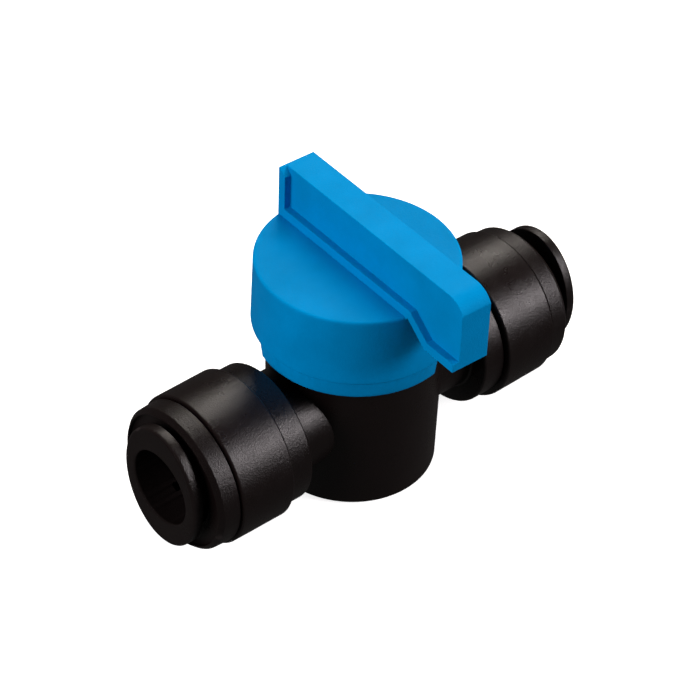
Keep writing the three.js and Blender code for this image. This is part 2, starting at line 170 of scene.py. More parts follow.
def loft(name, rings, closed):
    """Skins a row of rings. closed joins the last ring to the first; otherwise each end is
    one flat face."""
    mesh = bmesh.new()
    rows = [[mesh.verts.new(point) for point in ring] for ring in rings]
    pairs = list(zip(rows, rows[1:]))
    if closed:
        pairs.append((rows[-1], rows[0]))
    else:
        mesh.faces.new(rows[0])
        mesh.faces.new(rows[-1])
    for low, high in pairs:
        for i in range(len(low)):
            j = (i + 1) % len(low)
            mesh.faces.new([low[i], low[j], high[j], high[i]])
    return to_object(name, mesh)


def turned(name, corners, count=ROUND):
    """Turns an outline of (radius, height, corner radius) about Z. It closes on itself, or
    starts and ends on the axis with a flat end."""
    solid = corners[0][0] == 0
    points = [point for point in rounded(corners) if point[0] > 0]
    return loft(name, [circle(radius, height, count) for radius, height in points], closed=not solid)


def seal_ring(name, mean_radius, section_radius, height):
    """An O-ring about Z."""
    steps = 24
    rings = []
    for i in range(steps):
        turn = 2 * math.pi * i / steps
        radius = mean_radius + section_radius * math.cos(turn)
        rings.append(circle(radius, height + section_radius * math.sin(turn), SMALL_ROUND))
    return loft(name, rings, closed=True)


def prism(name, outline, low, high, to_space):
    """Extrudes a closed outline of (a, b) points between two distances; to_space(a, b, c)
    gives each corner's place."""
    ends = [[Vector(to_space(a, b, c)) for a, b in outline] for c in (low, high)]
    mesh = bmesh.new()
    bottom, top = [[mesh.verts.new(point) for point in end] for end in ends]
    mesh.faces.new(bottom)
    mesh.faces.new(top)
    for i in range(len(outline)):
        j = (i + 1) % len(outline)
        mesh.faces.new([bottom[i], bottom[j], top[j], top[i]])
    return to_object(name, mesh)


def sideways(a, b, c):
    """An outline's (y, z) and a distance along X, as a point."""
    return (c, a, b)


def upright(a, b, c):
    """An outline's (x, y) and a height, as a point."""
    return (a, b, c)


def block(name, low, high):
    """A box between two corners."""
    outline = [(low[0], low[1]), (high[0], low[1]), (high[0], high[1]), (low[0], high[1])]
    return prism(name, outline, low[2], high[2], upright)


def sector(name, inner, outer, start, end, bottom, top):
    """A sector of a ring about Z, between two angles."""
    steps = 48
    angles = [start + (end - start) * i / steps for i in range(steps + 1)]
    outline = [(outer * math.cos(turn), outer * math.sin(turn)) for turn in angles]
    outline += [(inner * math.cos(turn), inner * math.sin(turn)) for turn in reversed(angles)]
    return prism(name, outline, bottom, top, upright)


def bake_modifiers(piece):
    """Puts what an object's modifiers make into its mesh."""
    graph = bpy.context.evaluated_depsgraph_get()
    made = bpy.data.meshes.new_from_object(piece.evaluated_get(graph))
    before = piece.data
    piece.modifiers.clear()
    piece.data = made
    bpy.data.meshes.remove(before)


def combine(piece, others, operation):
    """Joins the others to a piece ("UNION"), cuts them from it ("DIFFERENCE"), or keeps what
    it shares with them ("INTERSECT")."""
    for other in others:
        modifier = piece.modifiers.new("combine", "BOOLEAN")
        modifier.operation = operation
        modifier.solver = "EXACT"
        modifier.object = other
        bake_modifiers(piece)
        bpy.data.objects.remove(other)
    return piece


SHARP_EDGE = math.radians(30)


def soften(piece, width, segments=3):
    """Rounds a piece's sharp edges, by less than width where short edges are in the way."""
    modifier = piece.modifiers.new("edges", "BEVEL")
    modifier.width = width
    modifier.segments = segments
    modifier.limit_method = "ANGLE"
    modifier.angle_limit = SHARP_EDGE
    bake_modifiers(piece)
    return piece


def mark_painted_highlight_edges(piece):
    """Gives the narrow faces of rounded outer edges the piece's second material, a lighter colour that
    paints a highlight on them.
    """
    narrow, outward = 0.2, math.radians(8)
    mesh = bmesh.new()
    mesh.from_mesh(piece.data)
    for face in mesh.faces:
        shortest = min(edge.calc_length() for edge in face.edges)
        turned_out = sum(edge.calc_face_angle_signed(0) for edge in face.edges)
        face.material_index = int(shortest < narrow and turned_out > outward)
    mesh.to_mesh(piece.data)
    mesh.free()


def move(piece, matrix):
    """Moves a piece's mesh."""
    piece.data.transform(matrix)
    return piece


def along_pipe(side):
    """Lays what was turned about Z along the pipe, on the +X side (1) or the -X side (-1)."""
    lay = Matrix.Rotation(side * math.pi / 2, 4, "Y")
    return Matrix.Translation((0, 0, PIPE_HEIGHT)) @ lay


# ---- Materials -------------------------------------------------------------------------

class Nodes:
    """Builds a material's nodes."""

    def __init__(self, name):
        self.material = bpy.data.materials.new(name)
        self.material.use_nodes = True
        self.tree = self.material.node_tree
        self.shader = self.tree.nodes["Principled BSDF"]
        coordinates = self.tree.nodes.new("ShaderNodeTexCoord")
        self.place = coordinates.outputs["Object"]

    def link(self, output, socket):
        """Feeds one node's output to another's socket."""
        self.tree.links.new(output, socket)

    def noise(self, size_mm, detail=3, roughness=0.5):
        """Noise whose blobs are about size_mm across."""
        node = self.tree.nodes.new("ShaderNodeTexNoise")
        node.inputs["Scale"].default_value = 1 / (size_mm * MM)
        node.inputs["Detail"].default_value = detail
        node.inputs["Roughness"].default_value = roughness
        self.link(self.place, node.inputs["Vector"])
        return node.outputs["Fac"]

    def ranged(self, value, low, high, from_low=0.3, from_high=0.7):
        """Maps a value to a range."""
        node = self.tree.nodes.new("ShaderNodeMapRange")
        node.inputs["From Min"].default_value = from_low
        node.inputs["From Max"].default_value = from_high
        node.inputs["To Min"].default_value = low
        node.inputs["To Max"].default_value = high
        self.link(value, node.inputs["Value"])
        return node.outputs["Result"]

    def mixed(self, factor, first, second):
        """A colour between two, each a colour or another node's output."""
        node = self.tree.nodes.new("ShaderNodeMix")
        node.data_type = "RGBA"
        self.link(factor, node.inputs["Factor"])
        for socket, colour in ((node.inputs[6], first), (node.inputs[7], second)):
            if isinstance(colour, tuple):
                socket.default_value = (*colour, 1)
            else:
                self.link(colour, socket)
        return node.outputs[2]

    def bump(self, height, strength, distance_mm, below=None):
        """A bumped normal, on top of another one if there is one below."""
        node = self.tree.nodes.new("ShaderNodeBump")
        node.inputs["Strength"].default_value = strength
        node.inputs["Distance"].default_value = distance_mm * MM
        self.link(height, node.inputs["Height"])
        if below is not None:
            self.link(below, node.inputs["Normal"])
        return node.outputs["Normal"]

    def edges(self, low=0.52, high=0.6):
        """1 on outer edges, 0 on flat and hollow surfaces."""
        geometry = self.tree.nodes.new("ShaderNodeNewGeometry")
        return self.ranged(geometry.outputs["Pointiness"], 0, 1, low, high)

    def feed(self, **inputs):
        """Feeds outputs to the shader's base_color, roughness and normal."""
        for name, output in inputs.items():
            self.link(output, self.shader.inputs[name.replace("_", " ").title()])


def moulded(name, colour, edge_wear_and_highlight, roughness, grain_mm, grain_depth, tint=None, specular=0.5):
    """Moulded plastic: spark-eroded grain, a slightly uneven colour, and outer edges painted lighter,
    partly as rubbed wear and partly as a painted highlight.
    """
    cloud_mm, patch_mm, wave_mm = 6, 3.5, 9
    cloud_shade, unevenness = 0.86, 0.05
    wave_strength, wave_depth = 0.15, 0.05
    nodes = Nodes(name)
    clouds = nodes.ranged(nodes.noise(cloud_mm, 4), 0, 1)
    darker = tuple(cloud_shade * value for value in colour)
    body = nodes.mixed(clouds, darker, colour)
    patches = nodes.noise(patch_mm, 3)
    waves = nodes.bump(nodes.noise(wave_mm, 2), wave_strength, wave_depth)
    grain = nodes.noise(grain_mm, 4, 0.65)
    # Outer edges are mixed to the second colour: partly rubbed wear, partly a painted highlight.
    nodes.feed(
        base_color=nodes.mixed(nodes.edges(), body, edge_wear_and_highlight),
        roughness=nodes.ranged(patches, roughness - unevenness, roughness + unevenness),
        normal=nodes.bump(grain, 1.0, grain_depth, waves),
    )
    nodes.shader.inputs["Specular IOR Level"].default_value = specular
    if tint is not None:
        nodes.shader.inputs["Specular Tint"].default_value = (*tint, 1)
    return nodes.material


def rubber_material():
    """Moulded rubber: dull, with a dusty bloom and a fine texture."""
    clean, dusty = (0.008, 0.008, 0.008), (0.03, 0.03, 0.03)
    bloom_mm, patch_mm, texture_mm, texture_depth = 1.2, 0.8, 0.12, 0.01
    nodes = Nodes("seal_rubber")
    bloom = nodes.ranged(nodes.noise(bloom_mm, 5, 0.6), 0, 1, 0.45, 0.75)
    nodes.feed(
        base_color=nodes.mixed(bloom, clean, dusty),
        roughness=nodes.ranged(nodes.noise(patch_mm, 3), 0.55, 0.8),
        normal=nodes.bump(nodes.noise(texture_mm, 3), 0.6, texture_depth),
    )
    return nodes.material


def steel_material():
    """Stamped spring steel: bright, drawn one way."""
    dark, bright = (0.5, 0.51, 0.53), (0.68, 0.68, 0.69)
    streak_mm, streak_squash, streak_depth = 0.3, 12, 0.004
    nodes = Nodes("tooth_steel")
    stretch = nodes.tree.nodes.new("ShaderNodeMapping")
    stretch.inputs["Scale"].default_value = (1, 1, streak_squash)
    nodes.link(nodes.place, stretch.inputs["Vector"])
    nodes.place = stretch.outputs["Vector"]
    drawn = nodes.noise(streak_mm, 4, 0.6)
    nodes.feed(
        base_color=nodes.mixed(drawn, dark, bright),
        roughness=nodes.ranged(drawn, 0.2, 0.38),
        normal=nodes.bump(drawn, 0.5, streak_depth),
    )
    nodes.shader.inputs["Metallic"].default_value = 1
    return nodes.material


# The knob's second blue is a painted highlight: a lighter blue laid on the rounded edges, where light
# catches them.
BLUE_COLOUR, BLUE_PAINTED_HIGHLIGHT_COLOUR = (0.0, 0.27, 0.63), (0.02, 0.6, 0.95)
BLUE = moulded(
    "blue_moulding", BLUE_COLOUR, BLUE_COLOUR, 0.44, 0.25, 0.05, tint=(0.0, 0.8, 1.0), specular=0.06
)
BLUE_PAINTED_HIGHLIGHT = moulded(
    "blue_painted_highlight", BLUE_PAINTED_HIGHLIGHT_COLOUR, BLUE_PAINTED_HIGHLIGHT_COLOUR, 0.35, 0.25, 0.03, tint=(0.5, 0.95, 1.0)
)
# Each moulding's second colour is the colour of its outer edges: partly wear, partly a painted
# highlight.
BLACK = moulded("black_moulding", (0.0062, 0.0034, 0.0032), (0.016, 0.011, 0.0105), 0.3, 0.22, 0.05)
TRIM = moulded("black_trim", (0.0062, 0.0036, 0.0034), (0.022, 0.016, 0.0155), 0.32, 0.22, 0.06)
SEAT_PLASTIC = moulded("seat_plastic", (0.78, 0.77, 0.73), (0.85, 0.84, 0.8), 0.42, 0.4, 0.004)
BALL_PLASTIC = moulded("ball_plastic", (0.7, 0.69, 0.65), (0.78, 0.77, 0.73), 0.18, 0.5, 0.002)
RUBBER = rubber_material()
STEEL = steel_material()

BODY_OF = {
    node: body
    for body, nodes in frame["record"]["behaviour"]["bodies"].items()
    for node in nodes
}


def finish_piece(piece, node, material, painted_highlight_material=None):
    """Scales a piece to metres, smooths it, and puts it in its CAD node's place. A second material, if
    given, paints a highlight on the rounded edges.
    """
    sharp_from = math.radians(38)
    mesh = piece.data
    if painted_highlight_material is not None:
        mark_painted_highlight_edges(piece)
    mesh.transform(Matrix.Scale(MM, 4))
    mesh.shade_smooth()
    mesh.set_sharp_from_angle(angle=sharp_from)
    mesh.materials.clear()
    mesh.materials.append(material)
    if painted_highlight_material is not None:
        mesh.materials.append(painted_highlight_material)
    normals = piece.modifiers.new("normals", "WEIGHTED_NORMAL")
    normals.keep_sharp = True
    normals.mode = "FACE_AREA"
    normals.weight = 100
    piece.name = f"fine_{node}"
    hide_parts(node)
    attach(piece, BODY_OF[node])


# ---- Body and what stays still round the stem ------------------------------------------

STOP_HALF_ANGLE = math.radians(12)
STOP_RADIUS, STOP_TOP = 10.6, 21.9
SEAT_POCKET, SEAT_POCKET_END = 5.3, 10.6
SPIGOT_POCKET, SPIGOT_FLOOR = 7.8, 16.2
CAVITY_FLOOR = PIPE_HEIGHT - BALL - 0.4
BEYOND = 1             # how far a cut runs past the surface it opens
BONNET_GROOVE, BONNET_GROOVE_BOTTOM = 6.6, BONNET_BOTTOM + 1.1
BONNET_GROOVE_TOP = BONNET_GROOVE_BOTTOM + 1.6


def valve_body():
    """The barrel with its two necks, bored out, with the lug that stops the knob."""
    body = turned("body", [
        (0, 0, 0),
        (BARREL_BASE, 0, 0.4),
        (BARREL_RIM, BARREL_TOP, 0.2),
        (TURRET, BARREL_TOP, 0.2),
        (TURRET, TURRET_TOP, 0.2),
        (0, TURRET_TOP, 0),
    ])
    lug = sector(
        "lug", TURRET - SUNK, STOP_RADIUS, math.pi - STOP_HALF_ANGLE, math.pi + STOP_HALF_ANGLE,
        BARREL_TOP - SUNK, STOP_TOP,
    )
    added = [lug]
    removed = [turned("cavity", [
        (0, CAVITY_FLOOR, 0),
        (CAVITY, CAVITY_FLOOR, 0.4),
        (CAVITY, TURRET_TOP + BEYOND, 0),
        (0, TURRET_TOP + BEYOND, 0),
    ])]
    for side in (-1, 1):
        neck = turned("neck", [
            (0, 0, 0),
            (NECK, 0, 0),
            (NECK, FLANGE_BACK, 0.4),
            (FLANGE, FLANGE_BACK, 0.35),
            (FLANGE, FLANGE_FRONT, 0.2),
            (0, FLANGE_FRONT, 0),
        ])
        added.append(move(neck, along_pipe(side)))
        hollow = turned("hollow", [
            (0, 0, 0),
            (SEAT_POCKET, 0, 0),
            (SEAT_POCKET, SEAT_POCKET_END, 0.15),
            (WATERWAY, SEAT_POCKET_END, 0.2),
            (WATERWAY, SPIGOT_FLOOR, 0.15),
            (SPIGOT_POCKET, SPIGOT_FLOOR, 0.15),
            (SPIGOT_POCKET, FLANGE_FRONT + BEYOND, 0),
            (0, FLANGE_FRONT + BEYOND, 0),
        ])
        removed.append(move(hollow, along_pipe(side)))
    combine(body, added, "UNION")
    return combine(body, removed, "DIFFERENCE")


def bonnet():
    """The cap over the stem, with a groove for its seal and a rim that rests on the body."""
    bore, outer = STEM + 0.3, CAVITY - GAP
    return turned("bonnet", [
        (bore, BONNET_BOTTOM, 0.15),
        (outer, BONNET_BOTTOM, 0.25),
        (outer, BONNET_GROOVE_BOTTOM, 0.1),
        (BONNET_GROOVE, BONNET_GROOVE_BOTTOM, 0.15),
        (BONNET_GROOVE, BONNET_GROOVE_TOP, 0.15),
        (outer, BONNET_GROOVE_TOP, 0.1),
        (outer, TURRET_TOP + GAP, 0.1),
        (TURRET, TURRET_TOP + GAP, 0.15),
        (TURRET, BONNET_TOP, 0.3),
        (bore, BONNET_TOP, 0.25),
    ])


def bonnet_seal():
    mean_radius, section_radius = 7.25, 0.6
    middle = (BONNET_GROOVE_BOTTOM + BONNET_GROOVE_TOP) / 2
    return seal_ring("seal", mean_radius, section_radius, middle)


def thrust_washer():
    inner, outer, corner = STEM + GAP, STEM_FLANGE - 0.1, 0.08
    bottom = STEM_FLANGE_TOP + 0.15
    top = bottom + 0.35
    return turned("washer", [
        (inner, bottom, corner),
        (outer, bottom, corner),
        (outer, top, corner),
        (inner, top, corner),
    ], SMALL_ROUND)


finish_piece(valve_body(), "valve_body", BLACK)
finish_piece(bonnet(), "bonnet", TRIM)
finish_piece(bonnet_seal(), "bonnet_seal", RUBBER)
finish_piece(thrust_washer(), "thrust_washer", SEAT_PLASTIC)


# ---- Pieces that turn ------------------------------------------------------------------

TO_CLOSED = Matrix.Rotation(CLOSED_ANGLE, 4, "Z")
STEM_GROOVES = [BONNET_BOTTOM + 0.7, BONNET_BOTTOM + 3.2]
GROOVE_WIDTH, GROOVE_RADIUS = 1.4, 2.25
STEM_SEAL, STEM_SEAL_SECTION = GROOVE_RADIUS + 0.65, 0.58


def ball():
    """A ball bored along Y, with the stem's slot across its top."""
    steps, edge_drop = 48, 0.15
    edge = math.asin(WATERWAY / BALL) + math.radians(2.5)
    bore_end = BALL * math.cos(edge) - edge_drop
    points = [(WATERWAY, -bore_end), (WATERWAY, bore_end)]
    for i in range(steps + 1):
        turn = edge + (math.pi - 2 * edge) * i / steps
        points.append((BALL * math.sin(turn), BALL * math.cos(turn)))
    made = loft("ball", [circle(radius, height, ROUND) for radius, height in points], closed=True)
    move(made, Matrix.Rotation(math.pi / 2, 4, "X"))
    slot = block("slot", (-FAR, -SLOT_HALF_WIDTH, SLOT_FLOOR), (FAR, SLOT_HALF_WIDTH, FAR))
    combine(made, [slot], "DIFFERENCE")
    return move(made, Matrix.Translation((0, 0, PIPE_HEIGHT)))


def stem():
    """A key for the ball's slot, a flange, two seal grooves, and a square for the knob."""
    outline = [
        (0, STEM_FLANGE_BOTTOM, 0),
        (STEM_FLANGE, STEM_FLANGE_BOTTOM, 0.2),
        (STEM_FLANGE, STEM_FLANGE_TOP, 0.2),
        (STEM, STEM_FLANGE_TOP, 0.1),
    ]
    for bottom in STEM_GROOVES:
        top = bottom + GROOVE_WIDTH
        outline += [(STEM, bottom, 0.1), (GROOVE_RADIUS, bottom, 0.1)]
        outline += [(GROOVE_RADIUS, top, 0.1), (STEM, top, 0.1)]
    outline += [(STEM, BONNET_TOP + GAP, 0.2), (0, BONNET_TOP + GAP, 0)]
    key_reach, key_half = 4, SLOT_HALF_WIDTH - GAP
    key_bottom, key_top = PIPE_HEIGHT + SLOT_FLOOR + GAP, STEM_FLANGE_BOTTOM + SUNK
    key = block("key", (-key_reach, -key_half, key_bottom), (key_reach, key_half, key_top))
    square = block(
        "square", (-SQUARE_HALF, -SQUARE_HALF, BONNET_TOP - SUNK), (SQUARE_HALF, SQUARE_HALF, STEM_TOP)
    )
    made = turned("stem", outline, SMALL_ROUND)
    return combine(made, [soften(key, 0.2), soften(square, 0.3)], "UNION")


def blade():
    """The knob's blade: a bar with a pointer nose and a recess in each side."""
    arc_steps, root = 14, KNOB_TOP - 1.5
    arc = []
    for i in range(arc_steps + 1):
        turn = NOSE_SWEEP * i / arc_steps
        along = NOSE_LENGTH - BLADE_NOSE - NOSE_ARC * math.sin(turn)
        arc.append((along, BLADE_TOP - NOSE_ARC * (1 - math.cos(turn))))
    outline = [
        (BLADE_TAIL, root),
        (BLADE_TAIL, BLADE_TOP),
        *arc,
        (-BLADE_NOSE, NOSE_BOTTOM),
        (-SLOPE_FOOT, NOSE_BOTTOM),
        (-SLOPE_TOP, KNOB_TOP),
        (-SLOPE_TOP + 1, root),
    ]
    made = prism("blade", outline, -BLADE_HALF, BLADE_HALF, sideways)
    slope = Vector((SLOPE_FOOT - SLOPE_TOP, KNOB_TOP - NOSE_BOTTOM)).normalized()
    floor = KNOB_TOP + LIP
    slope_top = SLOPE_TOP + (LIP - LIP * slope.x) / slope.y
    slope_foot = slope_top + (floor - NOSE_BOTTOM - LIP) * slope.x / slope.y
    edge = [(-slope_foot, NOSE_BOTTOM + LIP), (-slope_top, floor), (BLADE_TAIL - LIP, floor)]
    open_recess = edge + [
        (BLADE_TAIL - LIP, BLADE_TOP - TAIL_CUT_DEPTH),
        (BLADE_TAIL - TAIL_CUT_REST, BLADE_TOP),
        (BLADE_TAIL - TAIL_CUT_REST, BLADE_TOP + BEYOND),
        (-BLADE_NOSE - BEYOND, BLADE_TOP + BEYOND),
        (-BLADE_NOSE - BEYOND, NOSE_BOTTOM + LIP),
    ]
    pocket = edge + [
        (BLADE_TAIL - LIP, BLADE_TOP - LIP),
        (-BLADE_NOSE + NOSE_LENGTH + LIP / 2, BLADE_TOP - LIP),
        (-BLADE_NOSE + LIP, BLADE_TOP - NOSE_DROP - LIP / 2),
        (-BLADE_NOSE + LIP, NOSE_BOTTOM + LIP),
    ]
    inner = BLADE_HALF - RECESS_DEPTH
    combine(made, [
        prism("recess", open_recess, -FAR, -inner, sideways),
        prism("pocket", pocket, inner, FAR, sideways),
    ], "DIFFERENCE")
    return soften(made, 0.35)


def apron():
    """The part of the knob's wall that hangs lower, over the front of the barrel."""
    joined, web = DISC_BOTTOM + 0.4, KNOB_RING - SUNK
    bend = 0.3
    ring = turned("apron", [
        (APRON_BORE, APRON_BOTTOM, 0.2),
        (APRON_FOOT, APRON_BOTTOM, 0.35),
        (between(APRON_FOOT, APRON_TOP, bend), between(APRON_BOTTOM, DISC_BOTTOM, bend), 0),
        (APRON_TOP, DISC_BOTTOM, 0),
        (APRON_TOP, joined, 0),
        (web, joined, 0),
        (web, KNOB_BOTTOM, 0),
        (APRON_BORE, KNOB_BOTTOM, 0),
    ], FINE_ROUND)
    span = sector(
        "span", 1, FAR, APRON_CENTRE - APRON_HALF_ANGLE, APRON_CENTRE + APRON_HALF_ANGLE, 0, KNOB_TOP
    )
    return combine(ring, [span], "INTERSECT")


def knob():
    """The disc, ring, apron and blade, ribbed inside, with a socket for the stem's square and
    a groove for the body's lug."""
    ring_bore, cavity, ceiling = 10.0, 11.4, KNOB_TOP - 2.85
    hub, hub_bottom = 4.6, BONNET_TOP + 0.45
    wall_low, wall_high, top_margin = 0.08, 0.92, 0.9
    made = turned("knob", [
        (0, hub_bottom, 0),
        (hub, hub_bottom, 0.3),
        (hub, ceiling, 0.4),
        (cavity - 1, ceiling, 0.3),
        (cavity, ceiling - 1, 0.3),
        (cavity, DISC_BOTTOM + 1, 0.2),
        (ring_bore, DISC_BOTTOM, 0.2),
        (ring_bore, KNOB_BOTTOM, 0.2),
        (KNOB_RING, KNOB_BOTTOM, 0.2),
        (KNOB_RING, DISC_BOTTOM, 0.3),
        (DISC, DISC_BOTTOM, 0.3),
        (between(DISC, DISC_TOP, wall_low), between(DISC_BOTTOM, KNOB_TOP, wall_low), 0),
        (between(DISC, DISC_TOP, wall_high), between(DISC_BOTTOM, KNOB_TOP, wall_high), 0),
        (DISC_TOP, KNOB_TOP, 0.45),
        (DISC_TOP - top_margin, KNOB_TOP, 0),
        (0, KNOB_TOP, 0),
    ], FINE_ROUND)
    rib_half, rib_end = 0.7, cavity + SUNK
    rib_bottom, rib_top = ceiling - 2, ceiling + SUNK
    combine(made, [
        apron(),
        blade(),
        block("rib", (-rib_end, -rib_half, rib_bottom), (rib_end, rib_half, rib_top)),
        block("rib", (-rib_half, -rib_end, rib_bottom), (rib_half, rib_end, rib_top)),
    ], "UNION")
    socket = SQUARE_HALF + GAP
    socket_bottom, socket_top = hub_bottom - BEYOND, STEM_TOP + GAP
    groove_radius, slack = 10.9, math.radians(0.8)
    groove_end = math.pi - CLOSED_ANGLE + STOP_HALF_ANGLE + slack
    groove_start = groove_end - 2 * STOP_HALF_ANGLE - TURN_RANGE - 2 * slack
    return combine(made, [
        block("socket", (-socket, -socket, socket_bottom), (socket, socket, socket_top)),
        sector(
            "groove", ring_bore - BEYOND, groove_radius, groove_start, groove_end,
            KNOB_BOTTOM - BEYOND, STOP_TOP + 0.3,
        ),
    ], "DIFFERENCE")


finish_piece(move(ball(), TO_CLOSED), "ball", BALL_PLASTIC)
finish_piece(move(stem(), TO_CLOSED), "stem", TRIM)
for word, bottom in zip(("lower", "upper"), STEM_GROOVES):
    seal = seal_ring("seal", STEM_SEAL, STEM_SEAL_SECTION, bottom + GROOVE_WIDTH / 2)
    finish_piece(seal, f"stem_seal_{word}", RUBBER)
# The knob's rounded edges get the lighter blue, a painted highlight.
finish_piece(move(knob(), TO_CLOSED), "knob", BLUE, BLUE_PAINTED_HIGHLIGHT)


# ---- Ports -----------------------------------------------------------------------------

SEAT_INNER_FACE, SEAT_OUTER_FACE, SEAT_BACK = 6.1, 5.0, 8.8
TUBE_STOP = 17.0
SEAL_SEAT_BACK, SEAL_SEAT_FRONT, SEAL_SEAT = 19.4, 21.7, 7.2
SOCKET_BORE = 8.2
CARTRIDGE_BACK = SEAL_SEAT_FRONT + 1.25
MOUTH, MOUTH_FLOOR, THROAT = 9.15, 29.3, 6.4
CONE, CONE_START, CONE_END = 7.3, 25.0, 28.2
COLLET_FACE, COLLET_FLANGE = 33.8, 1.5
SLIT_STOP = 2.8
OVAL_WIDTH, OVAL_HEIGHT = 7.12, 8.84
SLEEVE = 5.95
COLLET_TIP = CARTRIDGE_BACK + 0.05 + COLLET_TRAVEL
COLLET_SHOULDER = COLLET_TIP + 2.4
FINGERS = 6
TOOTH_PLACE, TOOTH_THICKNESS = COLLET_TIP + 0.9, 0.4
TOOTH_TIP, TOOTH_ROOT, TOOTH_HALF = 4.8, 6.2, 1.2


def seat():
    """The ring that the ball seals on; its face leans with the ball."""
    inner, outer = WATERWAY + 0.1, SEAT_POCKET - GAP
    return turned("seat", [
        (inner, SEAT_INNER_FACE, 0.1),
        (outer, SEAT_OUTER_FACE, 0.1),
        (outer, SEAT_BACK, 0.2),
        (inner, SEAT_BACK, 0.2),
    ], SMALL_ROUND)


def seat_seal():
    return seal_ring("seal", (WATERWAY + SEAT_POCKET) / 2, 0.7, SEAT_POCKET_END - 0.9)


def port_socket():
    """The largest cylinder of a port, stepped inside for the tube, its seal and cartridge."""
    back, tube_bore = FLANGE_FRONT + GAP, TUBE_BORE + 0.1
    return turned("socket", [
        (WATERWAY, SPIGOT_FLOOR + GAP, 0.15),
        (SPIGOT_POCKET - GAP, SPIGOT_FLOOR + GAP, 0.2),
        (SPIGOT_POCKET - GAP, back, 0.1),
        (SOCKET, back, 0.3),
        (SOCKET - 0.07, SOCKET_FRONT, 0.25),
        (SOCKET_BORE, SOCKET_FRONT, 0.15),
        (SOCKET_BORE, SEAL_SEAT_FRONT, 0.1),
        (SEAL_SEAT, SEAL_SEAT_FRONT, 0.15),
        (SEAL_SEAT, SEAL_SEAT_BACK, 0.15),
        (tube_bore, SEAL_SEAT_BACK, 0.2),
        (tube_bore, TUBE_STOP, 0.1),
        (WATERWAY, TUBE_STOP, 0.2),
    ])


def tube_seal():
    mean_radius, section_radius = 5.85, 1.0
    middle = (SEAL_SEAT_BACK + SEAL_SEAT_FRONT) / 2
    return seal_ring("seal", mean_radius, section_radius, middle)


def seal_spacer():
    inner, outer, corner = TUBE_BORE + 0.25, SOCKET_BORE - GAP, 0.1
    back = SEAL_SEAT_FRONT + 0.15
    front = back + 0.9
    return turned("spacer", [
        (inner, back, corner),
        (outer, back, corner),
        (outer, front, corner),
        (inner, front, corner),
    ])


def cartridge():
    """The collar at a port's mouth, with the cone that closes the collet's fingers."""
    draft, bevel_width, bevel_height = 0.13, 0.12, 0.1
    return turned("cartridge", [
        (CONE, CARTRIDGE_BACK, 0.1),
        (SOCKET_BORE - GAP, CARTRIDGE_BACK, 0.2),
        (SOCKET_BORE - GAP, SOCKET_FRONT + GAP, 0.1),
        (COLLAR, SOCKET_FRONT + GAP, 0.12),
        (COLLAR - draft, COLLAR_FRONT - 0.65, 0.3),
        (MOUTH + bevel_width, COLLAR_FRONT, 0.12),
        (MOUTH, COLLAR_FRONT - bevel_height, 0.05),
        (MOUTH, MOUTH_FLOOR, 0.15),
        (THROAT, MOUTH_FLOOR, 0.2),
        (THROAT, CONE_END, 0.1),
        (CONE, CONE_START, 0.3),
    ])


def collet():
    """A sleeve of sprung fingers with an oval flange on its outer end."""
    back = COLLET_FACE - COLLET_FLANGE
    cone_slope = (CONE - THROAT) / (CONE_END - CONE_START)
    tip = CONE - (COLLET_TIP - CONE_START) * cone_slope - GAP
    shoulder = tip - (COLLET_SHOULDER - COLLET_TIP) * cone_slope
    rings = [circle(TUBE_BORE, COLLET_TIP, ROUND)]
    quarter = [math.pi / 2 * i / ARC_STEPS for i in range(ARC_STEPS + 1)]
    bore_edge, front_edge, back_edge, sleeve_edge = 0.3, 0.4, 0.15, 0.2
    for turn in quarter:
        grown = bore_edge * (1 - math.cos(turn))
        rings.append(circle(TUBE_BORE + grown, COLLET_FACE - bore_edge * (1 - math.sin(turn)), ROUND))
    for turn in quarter:
        inset = front_edge * (1 - math.sin(turn))
        height = COLLET_FACE - front_edge * (1 - math.cos(turn))
        rings.append(circle(OVAL_HEIGHT - inset, height, ROUND, OVAL_WIDTH - inset))
    for turn in quarter:
        inset = back_edge * (1 - math.cos(turn))
        height = back + back_edge * (1 - math.sin(turn))
        rings.append(circle(OVAL_HEIGHT - inset, height, ROUND, OVAL_WIDTH - inset))
    rings.append(circle(SLEEVE + sleeve_edge, back, ROUND))
    rings.append(circle(SLEEVE, back - sleeve_edge, ROUND))
    rings.append(circle(SLEEVE, COLLET_SHOULDER, ROUND))
    rings.append(circle(shoulder, COLLET_SHOULDER, ROUND))
    rings.append(circle(tip, COLLET_TIP + sleeve_edge, ROUND))
    rings.append(circle(tip - sleeve_edge, COLLET_TIP, ROUND))
    made = loft("collet", rings, closed=True)
    slit_half, slack = 0.6, 0.15
    slit_start, slit_end = COLLET_TIP - BEYOND, back - SLIT_STOP
    cutters = []
    for i in range(FINGERS):
        turn = 2 * math.pi * i / FINGERS
        slit = block("slit", (0, -slit_half, slit_start), (FAR, slit_half, slit_end))
        cutters.append(move(slit, Matrix.Rotation(turn + math.pi / FINGERS, 4, "Z")))
        pocket = block(
            "pocket",
            (TUBE_BORE - BEYOND, -TOOTH_HALF - slack, TOOTH_PLACE - slack),
            (TOOTH_ROOT + slack, TOOTH_HALF + slack, TOOTH_PLACE + TOOTH_THICKNESS + slack),
        )
        cutters.append(move(pocket, Matrix.Rotation(turn, 4, "Z")))
    return combine(made, cutters, "DIFFERENCE")


